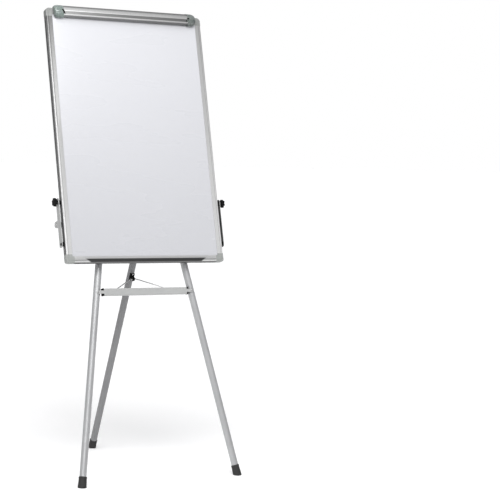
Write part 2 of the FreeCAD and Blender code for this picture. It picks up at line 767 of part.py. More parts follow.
def leg_socket_screw(radius, deep, head_radius):
    """Bar across the right leg socket, used for its screw and for the hole the screw sits in."""
    centre = leg_point(CROSS_TUBE_Z) - leg_direction() * SOCKET_SCREW_DROP
    back = centre + vec(0, SOCKET_RADIUS, 0)
    shank = rod(centre + vec(0, LEG_RADIUS - deep, 0), back, radius)
    if head_radius:
        head = Part.makeCylinder(head_radius, 2.8, back - vec(0, 0.6, 0), Y_AXIS)
        top = [edge for edge in head.Edges if edge.BoundBox.YMin > back.y + 2.1]
        head = head.makeFillet(1.2, top)
        slot = block(back.x - 3.2, back.x + 3.2, back.y + 1.2, back.y + 4, back.z - 0.5, back.z + 0.5)
        shank = shank.fuse(head).cut(slot)
    return shank


def leg_socket():
    """Right T-shaped moulding that joins the front leg to the cross tube."""
    head = leg_point(CROSS_TUBE_Z)
    along = leg_direction()
    ring = rod(head - X_AXIS * RING_HALF_LENGTH, head + X_AXIS * RING_HALF_LENGTH, SOCKET_RADIUS)
    stem = rod(head, head - along * SOCKET_LENGTH, SOCKET_RADIUS)
    body = ring.fuse(stem)
    tube_bore = rod(head - X_AXIS * 30, head + X_AXIS * 30, CROSS_TUBE_RADIUS + 0.03)
    leg_bore = rod(head - along * (CROSS_TUBE_RADIUS + SOCKET_WEB), head - along * (SOCKET_LENGTH + 5),
                   LEG_RADIUS + 0.03)
    socket_screw_room = leg_socket_screw(SOCKET_SCREW_HOLE, 8, 5.0)
    return body.cut(tube_bore).cut(leg_bore).cut(socket_screw_room).removeSplitter()


def front_leg():
    """Right front leg: one straight tube from the socket to the rubber foot."""
    along = leg_direction()
    top = leg_point(CROSS_TUBE_Z) - along * (CROSS_TUBE_RADIUS + SOCKET_WEB + 1)
    ground = leg_point(floor_height_in_board_space(LEG_PLANE_Y))
    tube = pipe(ground + along * LEG_END_ABOVE_FLOOR, top, LEG_RADIUS, LEG_RADIUS - TUBE_WALL)
    rivet_hole = crossbar_rivet(True)
    return tube.cut(leg_socket_screw(SOCKET_SCREW_HOLE, 8, 0)).cut(rivet_hole)


def rubber_foot():
    """Rubber ferrule standing on the origin with its axis along +Z: a cup with a thick sole, a
    slightly wider bottom and a bead round its mouth."""
    steps = [
        (0.0, -4.0),
        (FOOT_BOTTOM_RADIUS - 3.5, -4.0),
        (FOOT_BOTTOM_RADIUS - 0.9, -3.0, FOOT_BOTTOM_RADIUS, -0.5),
        (FOOT_BOTTOM_RADIUS, 2.5),
        (FOOT_TOP_RADIUS + 0.1, FOOT_HEIGHT - 7.0),
        (FOOT_TOP_RADIUS + 0.7, FOOT_HEIGHT - 5.8),
        (FOOT_TOP_RADIUS + 0.7, FOOT_HEIGHT - 1.4),
        (FOOT_TOP_RADIUS + 0.3, FOOT_HEIGHT - 0.4, FOOT_TOP_RADIUS - 0.5, FOOT_HEIGHT),
        (LEG_RADIUS + 0.02, FOOT_HEIGHT),
        (LEG_RADIUS + 0.02, FOOT_SOLE),
        (0.0, FOOT_SOLE),
    ]
    wire = outline(steps, lambda x, z: vec(x, 0, z))
    return Part.Face(wire).revolve(ORIGIN, Z_AXIS, FULL_TURN)


def stood_on_leg(shape, ground, direction):
    """Moves a shape drawn about +Z onto a leg axis that meets the floor at ground."""
    shape = shape.copy()
    shape.Placement = FreeCAD.Placement(ground, FreeCAD.Rotation(Z_AXIS, direction))
    return shape


def front_foot():
    """Right front foot, worn flat where it meets the floor."""
    ground = leg_point(floor_height_in_board_space(LEG_PLANE_Y))
    head = leg_point(CROSS_TUBE_Z)
    low = board_point(ground.x, ground.y, ground.z)
    high = board_point(head.x, head.y, head.z)
    return above_floor(stood_on_leg(rubber_foot(), low, high - low))


PLUG_LENGTH = 24.0


def cross_tube():
    """Tube between the two side plates."""
    start = vec(-PLATE_INNER_X + 0.05, LEG_PLANE_Y, CROSS_TUBE_Z)
    end = vec(PLATE_INNER_X - 0.05, LEG_PLANE_Y, CROSS_TUBE_Z)
    return pipe(start, end, CROSS_TUBE_RADIUS, CROSS_TUBE_RADIUS - TUBE_WALL)


def tube_plug():
    """Plastic insert in the right end of the cross tube, which the end screw bites into."""
    end = vec(PLATE_INNER_X - 0.1, LEG_PLANE_Y, CROSS_TUBE_Z)
    start = end - X_AXIS * PLUG_LENGTH
    return pipe(start, end, CROSS_TUBE_RADIUS - TUBE_WALL - 0.1, END_SCREW_RADIUS + 0.05)


def tube_end_screw():
    """Screw through the right side plate's ear into the cross tube's insert."""
    plate_outer = PLATE_INNER_X + PLATE_THICKNESS
    length = 20.0
    head = pan_head(plate_outer, LEG_PLANE_Y, CROSS_TUBE_Z, SCREW_HEAD_OUTER, 2.6)
    shank = rod(vec(plate_outer - length, LEG_PLANE_Y, CROSS_TUBE_Z),
                vec(plate_outer + 0.5, LEG_PLANE_Y, CROSS_TUBE_Z), END_SCREW_RADIUS)
    return head.fuse(shank)


def crossbar_rivet(as_hole):
    """Blind rivet through the right tongue of the crossbar into the front leg, or its hole."""
    middle = (CROSSBAR_TOP_Z + CROSSBAR_BOTTOM_Z) / 2
    x = leg_point(middle).x
    front = CROSSBAR_FRONT_Y
    radius = 2.05 if as_hole else 2.0
    shank = rod(vec(x, front - 0.5, middle), vec(x, LEG_PLANE_Y - LEG_RADIUS + 5.0, middle), radius)
    if as_hole:
        return shank
    head = Part.makeCylinder(4.2, 1.6, vec(x, front - 1.6, middle), Y_AXIS)
    front_edges = [edge for edge in head.Edges if edge.BoundBox.YMax < front - 1.59]
    return head.makeFillet(1.3, front_edges).fuse(shank)


def crossbar():
    """Sheet channel between the front legs, open to the back, with a tongue at each end that is
    riveted to the front of its leg."""
    front = CROSSBAR_FRONT_Y
    back = CROSSBAR_BACK_Y
    half = CROSSBAR_HALF_LENGTH
    sheet = CROSSBAR_SHEET
    corner = 2.2
    mid = corner * (1 - math.sqrt(0.5))
    high = CROSSBAR_TOP_Z
    low = CROSSBAR_BOTTOM_Z
    section = [
        (front + corner, high),
        (back, high),
        (back, high - sheet),
        (front + sheet, high - sheet),
        (front + sheet, low + sheet),
        (back, low + sheet),
        (back, low),
        (front + corner, low),
        (front + mid, low + mid, front, low + corner),
        (front, high - corner),
        (front + mid, high - mid, front + corner, high),
    ]
    channel = extrude_x(section, -half, half)
    middle = (high + low) / 2
    reach = leg_point(middle).x
    tongue = block(half - 1, reach, front, front + sheet, middle - TONGUE_HEIGHT / 2,
                   middle + TONGUE_HEIGHT / 2)
    tip = rod(vec(reach, front, middle), vec(reach, front + sheet, middle), TONGUE_HEIGHT / 2)
    arm = tongue.fuse(tip).cut(crossbar_rivet(True))
    return channel.fuse(arm).fuse(mirrored(arm)).removeSplitter()


PLUG_END = 6.0


def crossbar_plug():
    """Black plug that closes the right end of the channel, behind its tongue."""
    half = CROSSBAR_HALF_LENGTH
    inner = CROSSBAR_SHEET + 0.15
    lip = 0.4
    behind_tongue = CROSSBAR_FRONT_Y + CROSSBAR_SHEET + 0.1
    body = block(half - 12, half + 1, CROSSBAR_FRONT_Y + inner, CROSSBAR_BACK_Y - 0.5,
                 CROSSBAR_BOTTOM_Z + inner, CROSSBAR_TOP_Z - inner)
    flange = block(half + 0.05, half + PLUG_END, CROSSBAR_FRONT_Y - lip, CROSSBAR_BACK_Y + lip,
                   CROSSBAR_BOTTOM_Z - lip, CROSSBAR_TOP_Z + lip)
    upright = [edge for edge in flange.Edges if edge.BoundBox.XLength < 0.01
               and edge.BoundBox.XMin > half + PLUG_END - 0.1]
    flange = flange.makeChamfer(0.5, upright)
    middle = (CROSSBAR_TOP_Z + CROSSBAR_BOTTOM_Z) / 2
    tongue_room = block(half - 2, half + PLUG_END + 1, CROSSBAR_FRONT_Y - 2, behind_tongue,
                        middle - TONGUE_HEIGHT / 2 - 0.1, middle + TONGUE_HEIGHT / 2 + 0.1)
    return body.fuse(flange).cut(tongue_room).removeSplitter()


def brace_clip():
    """Right clip inside the crossbar that the brace wire turns in."""
    inner = CROSSBAR_FRONT_Y + CROSSBAR_SHEET
    x = BRACE_HALF_SPAN
    sheet = 1.5
    foot_length = 14.0
    foot_half = 7.0
    eye_radius = 5.0
    foot = block(x - foot_length, x, inner, inner + sheet,
                 BRACE_PIVOT_Z - foot_half, BRACE_PIVOT_Z + foot_half)
    ear = block(x - sheet, x, inner, BRACE_PIVOT_Y, BRACE_PIVOT_Z - eye_radius, BRACE_PIVOT_Z + eye_radius)
    eye = Part.makeCylinder(eye_radius, sheet, vec(x - sheet, BRACE_PIVOT_Y, BRACE_PIVOT_Z), X_AXIS)
    bore = rod(vec(x - 3, BRACE_PIVOT_Y, BRACE_PIVOT_Z), vec(x + 2, BRACE_PIVOT_Y, BRACE_PIVOT_Z),
               WIRE_RADIUS + 0.09)
    return foot.fuse(ear).fuse(eye).cut(bore).removeSplitter()


HINGE_FLANGE_INNER = 12.6
HINGE_FLANGE_OUTER = 14.8
HINGE_PIN_RADIUS = 3.0


def rear_hinge_bracket():
    """Folded steel bracket welded to the cross tube, with two flanges for the rear leg's pin."""
    centre = LEG_PLANE_Y
    wide = 16.0
    narrow = 9.5
    section = [
        (centre - wide, CROSS_TUBE_Z + 2.0),
        (centre - wide, CROSS_TUBE_Z - 9.0),
        (centre - narrow, REAR_PIVOT_Z),
        (centre, REAR_PIVOT_Z - narrow, centre + narrow, REAR_PIVOT_Z),
        (centre + wide, CROSS_TUBE_Z - 2.0),
        (centre, CROSS_TUBE_Z + wide, centre - wide, CROSS_TUBE_Z + 2.0),
    ]
    flange = extrude_x(section, HINGE_FLANGE_INNER, HINGE_FLANGE_OUTER)
    web = block(-HINGE_FLANGE_OUTER, HINGE_FLANGE_OUTER, centre - wide, centre - wide + 2.2,
                CROSS_TUBE_Z - 9.0, CROSS_TUBE_Z + 2.0)
    bracket = flange.fuse(mirrored(flange)).fuse(web)
    tube_hole = rod(vec(-20, centre, CROSS_TUBE_Z), vec(20, centre, CROSS_TUBE_Z), CROSS_TUBE_RADIUS + 0.03)
    pin_hole = rod(vec(-20, centre, REAR_PIVOT_Z), vec(20, centre, REAR_PIVOT_Z), HINGE_PIN_RADIUS + 0.02)
    return bracket.cut(tube_hole).cut(pin_hole).removeSplitter()


def rear_hinge_pin():
    """Riveted pin that the rear leg folds on."""
    centre = LEG_PLANE_Y
    outer = HINGE_FLANGE_OUTER + 0.05
    shank = rod(vec(-outer - 0.5, centre, REAR_PIVOT_Z), vec(outer + 0.5, centre, REAR_PIVOT_Z),
                HINGE_PIN_RADIUS)
    pin = shank
    for side in (1, -1):
        head = Part.makeCylinder(5.2, 2.4, vec(side * outer, centre, REAR_PIVOT_Z), X_AXIS * side)
        far = [edge for edge in head.Edges if edge.BoundBox.XLength < 0.01
               and abs(edge.BoundBox.XMin) > outer + 2.3]
        pin = pin.fuse(head.makeFillet(1.2, far))
    return pin


def make_stand():
    """Front legs, feet, cross tube, crossbar and the hinge bracket for the rear leg."""
    add_pair("front_leg", front_leg())
    add_pair("leg_socket", leg_socket())
    screw = leg_socket_screw(SOCKET_SCREW_RADIUS, 7, 4.6)
    parts["leg_socket_screws"] = Part.makeCompound([screw, mirrored(screw)])
    parts["cross_tube"] = cross_tube()
    plug = tube_plug()
    parts["tube_plugs"] = Part.makeCompound([plug, mirrored(plug)])
    screw = tube_end_screw()
    parts["tube_end_screws"] = Part.makeCompound([screw, mirrored(screw)])
    parts["crossbar"] = crossbar()
    rivet = crossbar_rivet(False)
    parts["crossbar_rivets"] = Part.makeCompound([rivet, mirrored(rivet)])
    plug = crossbar_plug()
    parts["crossbar_plugs"] = Part.makeCompound([plug, mirrored(plug)])
    clip = brace_clip()
    parts["brace_clips"] = Part.makeCompound([clip, mirrored(clip)])
    parts["rear_hinge_bracket"] = rear_hinge_bracket()
    parts["rear_hinge_pin"] = rear_hinge_pin()


# ---------------------------------------------------------------- rear leg
# Drawn hanging straight down from its pivot at the origin, then swung back to its angle.

def rear_leg_length():
    """From the pivot to the floor, along the leg."""
    return board_point(0, LEG_PLANE_Y, REAR_PIVOT_Z).z / math.cos(math.radians(REAR_LEG_ANGLE))


def on_rear_leg(shape):
    """Carries a shape from the rear leg's own space to the standing easel."""
    shape = shape.copy()
    shape.rotate(ORIGIN, X_AXIS, REAR_LEG_ANGLE)
    shape.translate(board_point(0, LEG_PLANE_Y, REAR_PIVOT_Z))
    return shape


REAR_LEG_TOP = 7.0


def rear_leg():
    """Rear leg tube with a hole for its hinge pin."""
    end = -rear_leg_length() + LEG_END_ABOVE_FLOOR
    tube = pipe(vec(0, 0, end), vec(0, 0, REAR_LEG_TOP), LEG_RADIUS, LEG_RADIUS - TUBE_WALL)
    hole = rod(vec(-20, 0, 0), vec(20, 0, 0), HINGE_PIN_RADIUS + 0.08)
    return tube.cut(hole).cut(catch_rivet_holes())


def rear_leg_plug():
    """Plastic insert that closes the top of the rear leg and bears on the hinge pin."""
    inner = LEG_RADIUS - TUBE_WALL - 0.12
    body = rod(vec(0, 0, -PLUG_LENGTH), vec(0, 0, REAR_LEG_TOP + 1), inner)
    cap = rod(vec(0, 0, REAR_LEG_TOP), vec(0, 0, REAR_LEG_TOP + 5), LEG_RADIUS)
    rim = [edge for edge in cap.Edges if edge.BoundBox.ZMin > REAR_LEG_TOP + 4.99]
    cap = cap.makeFillet(3.5, rim)
    hole = rod(vec(-20, 0, 0), vec(20, 0, 0), HINGE_PIN_RADIUS + 0.08)
    return body.fuse(cap).cut(hole)


CATCH_HALF_THICKNESS = 4.0
CATCH_RIVET_RISE = 11.0
CATCH_RIVET_DROP = 8.0
CATCH_RIVET_RADIUS = 1.6
CATCH_BASE = 3.5


def catch_rivet_holes():
    """Holes in the rear leg for the two rivets of the brace catch."""
    holes = []
    for z in (-CATCH_ALONG_LEG + CATCH_RIVET_RISE, -CATCH_ALONG_LEG - CATCH_RIVET_DROP):
        holes.append(rod(vec(0, -LEG_RADIUS - 8, z), vec(0, -LEG_RADIUS + 6, z), CATCH_RIVET_RADIUS + 0.05))
    return Part.makeCompound(holes)


def brace_catch():
    """Moulded catch on the front of the rear leg. Its slot opens downwards and back towards the
    leg, the way the brace wire leaves it when the easel is folded."""
    wire_y = -CATCH_STANDOFF
    wire_z = -CATCH_ALONG_LEG
    base = block(-8, 8, -LEG_RADIUS - CATCH_BASE, -LEG_RADIUS + 3, wire_z - 13, wire_z + 14)
    base = base.cut(rod(vec(0, 0, wire_z - 30), vec(0, 0, wire_z + 30), LEG_RADIUS + 0.02))
    arm = [
        (-LEG_RADIUS - 2.0, wire_z + 7.5),
        (wire_y - 1.0, wire_z + 6.0),
        (wire_y - 4.6, wire_z + 4.6, wire_y - 5.6, wire_z + 1.0),
        (wire_y - 4.4, wire_z - 6.0),
        (wire_y - 0.6, wire_z - 6.0),
        (-LEG_RADIUS - 2.0, wire_z - 4.0),
    ]
    body = base.fuse(extrude_x(arm, -CATCH_HALF_THICKNESS, CATCH_HALF_THICKNESS))
    gap = WIRE_RADIUS + 0.3
    seat = rod(vec(-9, wire_y, wire_z), vec(9, wire_y, wire_z), gap)
    mouth = block(-9, 9, wire_y - gap, wire_y + gap, wire_z - 14, wire_z)
    mouth.rotate(vec(0, wire_y, wire_z), X_AXIS, 18.0)
    side_room = block(-9, 9, -LEG_RADIUS - 9.5, -LEG_RADIUS - CATCH_BASE, wire_z - 14, wire_z - 2.5)
    body = body.cut(seat).cut(mouth).cut(side_room)
    return body.cut(catch_rivet_holes()).removeSplitter()


def catch_rivets():
    """Two rivets that hold the brace catch to the rear leg."""
    rivets = []
    surface = -LEG_RADIUS - CATCH_BASE
    for z in (-CATCH_ALONG_LEG + CATCH_RIVET_RISE, -CATCH_ALONG_LEG - CATCH_RIVET_DROP):
        head = Part.makeCylinder(2.9, 1.1, vec(0, surface, z), Y_AXIS * -1)
        shank = rod(vec(0, surface - 0.3, z), vec(0, -LEG_RADIUS + 4, z), CATCH_RIVET_RADIUS)
        rivets.append(head.fuse(shank))
    return Part.makeCompound(rivets)


def rear_foot():
    """Rear foot, worn flat where it meets the floor."""
    pivot = board_point(0, LEG_PLANE_Y, REAR_PIVOT_Z)
    drop = pivot.z * math.tan(math.radians(REAR_LEG_ANGLE))
    ground = vec(0, pivot.y + drop, 0)
    return above_floor(stood_on_leg(rubber_foot(), ground, pivot - ground))


# ---------------------------------------------------------------- brace wire

def catch_point():
    """Centre of the brace wire in its catch, on the standing easel."""
    angle = math.radians(REAR_LEG_ANGLE)
    pivot = board_point(0, LEG_PLANE_Y, REAR_PIVOT_Z)
    down = vec(0, math.sin(angle), -math.cos(angle))
    forward = vec(0, -math.cos(angle), -math.sin(angle))
    return pivot + down * CATCH_ALONG_LEG + forward * CATCH_STANDOFF


def bent_wire(points, radius, bend):
    """Round wire through points, with each corner turned on an arc of one radius."""
    edges = []
    here = points[0]
    for before, corner, after in zip(points, points[1:], points[2:]):
        back = (before - corner).normalize()
        ahead = (after - corner).normalize()
        half = back.getAngle(ahead) / 2
        reach = bend / math.tan(half)
        start = corner + back * reach
        end = corner + ahead * reach
        inward = (back + ahead).normalize()
        middle = corner + inward * (bend / math.sin(half) - bend)
        edges.append(Part.makeLine(here, start))
        edges.append(Part.Arc(start, middle, end).toShape())
        here = end
    edges.append(Part.makeLine(here, points[-1]))
    circle = Part.makeCircle(radius, points[0], points[1] - points[0])
    return Part.Wire(edges).makePipeShell([Part.Wire([circle])], True, False)


def brace_wire():
    """One wire bent into a V: its point sits in the rear leg's catch, its ends turn outwards
    through the clips in the crossbar."""
    tip = catch_point()
    foot = board_point(0, BRACE_PIVOT_Y, BRACE_PIVOT_Z)
    points = [
        foot + vec(BRACE_HALF_SPAN + 8, 0, 0),
        foot + vec(BRACE_HALF_SPAN - 7, 0, 0),
        tip + vec(9.0, 0, 0),
        tip - vec(9.0, 0, 0),
        foot - vec(BRACE_HALF_SPAN - 7, 0, 0),
        foot - vec(BRACE_HALF_SPAN + 8, 0, 0),
    ]
    return bent_wire(points, WIRE_RADIUS, 4.5)


# ---------------------------------------------------------------- assembly

make_panel()
make_frame()
make_clamp()
make_sides()
make_stand()
parts = {name: on_board(shape) for name, shape in parts.items()}

foot_shape = front_foot()
add_pair("front_foot", foot_shape)
parts["rear_leg"] = on_rear_leg(rear_leg())
parts["rear_leg_plug"] = on_rear_leg(rear_leg_plug())
parts["brace_catch"] = on_rear_leg(brace_catch())
parts["catch_rivets"] = on_rear_leg(catch_rivets())
parts["rear_foot"] = rear_foot()
parts["brace_wire"] = brace_wire()

# The origin moves from under the board's bottom edge to the middle of the footprint.
bounds = Part.makeCompound(list(parts.values())).BoundBox
shift = vec(0, -(bounds.YMin + bounds.YMax) / 2, 0)

os.makedirs("parts", exist_ok=True)
for name, shape in parts.items():
    shape.translate(shift)
    shape.exportStep("parts/" + name + ".step")

for label, point in (
    ("clamp pivot", board_point(0, CLAMP_PIVOT_Y, BOARD_HEIGHT + CLAMP_PIVOT_RISE)),
    ("knob axis", board_point(PLATE_INNER_X, SLOT_DEPTH_CENTRE, KNOB_Z)),
    ("rear leg pivot", board_point(0, LEG_PLANE_Y, REAR_PIVOT_Z)),
    ("brace pivot", board_point(0, BRACE_PIVOT_Y, BRACE_PIVOT_Z)),
):
    place = point + shift
    print(label, round(place.x, 3), round(place.y, 3), round(place.z, 3))
print(len(parts), "parts, shift", round(shift.y, 3))
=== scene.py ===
import bpy
import math
from mathutils import Matrix, Vector

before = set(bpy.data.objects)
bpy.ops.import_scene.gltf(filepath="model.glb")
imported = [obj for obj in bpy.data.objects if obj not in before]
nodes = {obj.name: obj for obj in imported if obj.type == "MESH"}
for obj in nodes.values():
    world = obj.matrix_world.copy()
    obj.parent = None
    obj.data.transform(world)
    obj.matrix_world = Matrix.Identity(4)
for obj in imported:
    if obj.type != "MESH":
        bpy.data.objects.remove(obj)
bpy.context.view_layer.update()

# Looks for the flipchart easel. All lengths are in metres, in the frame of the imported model:
# X to the right, Y from the board's front to its back, Z up, floor at 0.

BOARD_TILT = math.radians(16.5)
BOARD_HEIGHT = 0.9
BOARD_HALF_WIDTH = 0.3
BOARD_BOTTOM = (0.0, -0.125535, 0.73)
RAIL_WIDTH = 0.024
PLATE_INNER_X = 0.3073


# ---------------------------------------------------------------- material tools

# Sockets of a Mix node that mixes colours.
MIX_FIRST = 6
MIX_SECOND = 7
MIX_RESULT = 2


def opaque(colour):
    return (*colour, 1.0)


class Nodes:
    """Short names for building one node material."""

    def __init__(self, name):
        self.material = bpy.data.materials.new(name)
        self.material.use_nodes = True
        self.tree = self.material.node_tree
        self.shader = self.tree.nodes["Principled BSDF"]
        self.place = self.add("ShaderNodeTexCoord").outputs["Object"]

    def add(self, kind, **settings):
        node = self.tree.nodes.new(kind)
        for key, value in settings.items():
            setattr(node, key, value)
        return node

    def link(self, source, target):
        self.tree.links.new(source, target)

    def set(self, **values):
        """Constants on the shader's own sockets."""
        for key, value in values.items():
            self.shader.inputs[key.replace("_", " ")].default_value = value

    # Positions

    def position(self, axis):
        split = self.add("ShaderNodeSeparateXYZ")
        self.link(self.place, split.inputs["Vector"])
        return split.outputs[axis]

    def half_width(self):
        """Distance from the middle plane of the easel, in metres."""
        size = self.add("ShaderNodeMath", operation="ABSOLUTE")
        self.link(self.position("X"), size.inputs[0])
        return size.outputs["Value"]

    def board_height(self):
        """Distance up the board from its bottom edge, in metres."""
        moved = self.add("ShaderNodeMapping", vector_type="TEXTURE")
        moved.inputs["Location"].default_value = BOARD_BOTTOM
        moved.inputs["Rotation"].default_value = (-BOARD_TILT, 0.0, 0.0)
        self.link(self.place, moved.inputs["Vector"])
        split = self.add("ShaderNodeSeparateXYZ")
        self.link(moved.outputs["Vector"], split.inputs["Vector"])
        return split.outputs["Z"]

    def mapped(self, turn, scale):
        """Object coordinates turned, then stretched."""
        turned = self.add("ShaderNodeMapping")
        turned.inputs["Rotation"].default_value = turn
        self.link(self.place, turned.inputs["Vector"])
        stretched = self.add("ShaderNodeMapping")
        stretched.inputs["Scale"].default_value = scale
        self.link(turned.outputs["Vector"], stretched.inputs["Vector"])
        return stretched.outputs["Vector"]

    # Patterns, numbers and colours

    def noise(self, scale, detail, rough=0.55, vector=None):
        node = self.add("ShaderNodeTexNoise")
        node.inputs["Scale"].default_value = scale
        node.inputs["Detail"].default_value = detail
        node.inputs["Roughness"].default_value = rough
        self.link(self.place if vector is None else vector, node.inputs["Vector"])
        return node.outputs["Fac"]

    def spread(self, source, low, high, start=0.3, end=0.7):
        """Turns a pattern that runs from start to end into a number between low and high."""
        node = self.add("ShaderNodeMapRange")
        node.inputs["From Min"].default_value = start
        node.inputs["From Max"].default_value = end
        node.inputs["To Min"].default_value = low
        node.inputs["To Max"].default_value = high
        self.link(source, node.inputs["Value"])
        return node.outputs["Result"]

    def tones(self, source, dark, light, start=0.3, end=0.7):
        """Turns a pattern that runs from start to end into a colour between two."""
        node = self.add("ShaderNodeValToRGB")
        first, last = node.color_ramp.elements
        first.position, first.color = start, opaque(dark)
        last.position, last.color = end, opaque(light)
        self.link(source, node.inputs["Fac"])
        return node.outputs["Color"]

    def bands(self, distance, stops):
        """A grey level that changes with a distance: stops are (distance, grey) pairs."""
        start, end = stops[0][0], stops[-1][0]
        node = self.add("ShaderNodeValToRGB")
        elements = node.color_ramp.elements
        elements[0].color = opaque((stops[0][1],) * 3)
        elements[-1].color = opaque((stops[-1][1],) * 3)
        for where, grey in stops[1:-1]:
            elements.new((where - start) / (end - start)).color = opaque((grey,) * 3)
        self.link(self.spread(distance, 0.0, 1.0, start, end), node.inputs["Fac"])
        return node.outputs["Color"]

    def mix(self, amount, first, second):
        node = self.add("ShaderNodeMix", data_type="RGBA")
        self.link(amount, node.inputs["Factor"])
        self.link(first, node.inputs[MIX_FIRST])
        self.link(second, node.inputs[MIX_SECOND])
        return node.outputs[MIX_RESULT]

    def times(self, first, second):
        node = self.add("ShaderNodeMix", data_type="RGBA", blend_type="MULTIPLY")
        node.inputs["Factor"].default_value = 1.0
        self.link(first, node.inputs[MIX_FIRST])
        self.link(second, node.inputs[MIX_SECOND])
        return node.outputs[MIX_RESULT]

    # What the shader gets

    def colour(self, source):
        self.link(source, self.shader.inputs["Base Color"])

    def roughness(self, source, low, high, start=0.3, end=0.7):
        self.link(self.spread(source, low, high, start, end), self.shader.inputs["Roughness"])

    def relief(self, source, strength, depth):
        node = self.add("ShaderNodeBump")
        node.inputs["Strength"].default_value = strength
        node.inputs["Distance"].default_value = depth
        self.link(source, node.inputs["Height"])
        self.link(node.outputs["Normal"], self.shader.inputs["Normal"])


# ---------------------------------------------------------------- paint

PLATE_TONES = ((0.36, 0.365, 0.36), (0.40, 0.405, 0.40))
# Black painted on the side plates' inner faces: painted shade for the narrow gap beside the board.
INSIDE_SHADE_GREY = 0.02


def painted(name, dark, light, rough, metallic, grain=900.0):
    """Powder-coated or enamelled metal: fine orange peel and faint handling marks."""
    made = Nodes(name)
    made.base = made.tones(made.noise(scale=9.0, detail=3.0), dark, light)
    made.colour(made.base)
    made.roughness(made.noise(scale=60.0, detail=5.0), rough - 0.05, rough + 0.07)
    made.relief(made.noise(scale=grain, detail=2.0), strength=0.25, depth=0.00012)
    made.set(Metallic=metallic)
    return made


def plate_paint_with_shaded_inside():
    """Pale paint outside; the side that faces the board is painted black, as painted shade for the
    narrow gap beside the board.
    """
    made = painted("side_plate_powder_coat_and_painted_shade", *PLATE_TONES, rough=0.45, metallic=0.1)
    inside_shade = made.bands(made.half_width(), [
        (PLATE_INNER_X - 0.001, INSIDE_SHADE_GREY), (PLATE_INNER_X + 0.0001, INSIDE_SHADE_GREY),
        (PLATE_INNER_X + 0.0003, 1.0), (PLATE_INNER_X + 0.002, 1.0)])
    made.colour(made.times(made.base, inside_shade))
    return made


def writing_enamel():
    """Glossy dry-erase enamel with ghosts of old wiping strokes."""
    made = Nodes("writing_enamel")
    strokes = made.mapped(turn=(0.4, 0.0, 0.3), scale=(1.0, 1.0, 5.0))
    swipes = made.noise(scale=2.5, detail=3.0, rough=0.45, vector=strokes)
    made.colour(made.tones(swipes, (0.468, 0.472, 0.494), (0.474, 0.478, 0.499), 0.1, 0.9))
    made.roughness(swipes, 0.265, 0.285, 0.1, 0.9)
    made.relief(made.noise(scale=500.0, detail=2.0), strength=0.05, depth=0.00003)
    made.set(Coat_Weight=0.4, Coat_Roughness=0.12)
    return made


# ---------------------------------------------------------------- aluminium

PALE_METAL = ((0.93, 0.935, 0.93), (1.0, 1.0, 0.995))
UPRIGHT_LINES = (900.0, 900.0, 6.0)
LEVEL_LINES = (6.0, 900.0, 900.0)

# The tones below follow the light on each rail in the photograph: where, then how bright.

# Side rails, from the writing surface outwards: distance in from the board's edge, tone at the
# bottom of the board, tone at its top, all of it painted light and shade. The front's top tones
# are scaled for each side.
SIDE_RAIL_FRONT_PAINTED_LIGHT = [
    (RAIL_WIDTH, 0.62, 0.22), (0.0108, 0.64, 0.19), (0.0102, 0.50, 0.13),
    (0.0084, 0.50, 0.13), (0.0078, 0.70, 0.20), (0.0020, 0.74, 0.17)]
# Painted shade on the outer side face and in its slot.
SIDE_RAIL_EDGE_PAINTED_SHADE = [(0.0010, 0.09, 0.16), (0.0, 0.13, 0.24)]
# Painted shade darkens the rails from here up to the top of the board.
SIDE_RAIL_SHADE_FADE_START = 0.10

# Bottom rail: height above the board's bottom edge, tone. The tones are painted reflection and
# shade.
BOTTOM_RAIL_MIDDLE_REFLECTION = [
    (0.0, 0.15), (0.0030, 0.14), (0.0040, 0.035), (0.0142, 0.055), (0.0156, 0.46),
    (RAIL_WIDTH, 0.50)]
BOTTOM_RAIL_END_HIGHLIGHTS = [
    (0.0, 0.07), (0.0016, 0.08), (0.0026, 0.60), (0.0080, 0.60), (0.0086, 0.09),
    (0.0098, 0.09), (0.0108, 0.48), (RAIL_WIDTH, 0.56)]
# The painted reflection in the middle gives way to the painted highlights at the ends here, at
# the bottom edge. Higher up it does so further out.
END_HIGHLIGHT_START = 0.204
END_HIGHLIGHT_FULL = 0.212
END_HIGHLIGHT_SLANT = -1.4

# Top rail and clamp bar: height above the board's top edge, tone; the tones are painted light and
# shade.
TOP_RAIL_LIGHT_TONES = [(-RAIL_WIDTH, 0.42), (-0.0090, 0.44), (0.0, 0.5)]
CLAMP_LIGHT_TONES = [
    (-0.0345, 0.20), (-0.0305, 0.20), (-0.0296, 0.54), (-0.0252, 0.54), (-0.0244, 0.17),
    (-0.0158, 0.20), (-0.0150, 0.54), (-0.0040, 0.42), (0.0030, 0.13), (0.0110, 0.09)]
# Clamp bar, along its length: distance to the right of the middle, scale of its tones. This is
# painted shade, darker towards the right end.
CLAMP_SHADE_ALONG = [(-0.24, 1.05), (-0.05, 0.86), (0.24, 0.66)]


def anodised(name, line_scale, rough=0.30):
    """Drawn and anodised aluminium: fine lines along the extrusion. The caller tones made.base
    and gives it to the shader."""
    made = Nodes(name)
    along = made.mapped(turn=(-BOARD_TILT, 0.0, 0.0), scale=line_scale)
    lines = made.noise(scale=1.0, detail=5.0, rough=0.65, vector=along)
    cloud = made.noise(scale=14.0, detail=3.0)
    made.base = made.mix(made.spread(cloud, 0.0, 0.5), made.tones(lines, *PALE_METAL),
                         made.tones(cloud, *PALE_METAL))
    made.roughness(lines, rough - 0.05, rough + 0.08)
    made.relief(lines, strength=0.10, depth=0.00005)
    made.set(Metallic=0.45, Anisotropic=0.4)
    return made


def from_top(tones):
    return [(BOARD_HEIGHT + height, grey) for height, grey in tones]


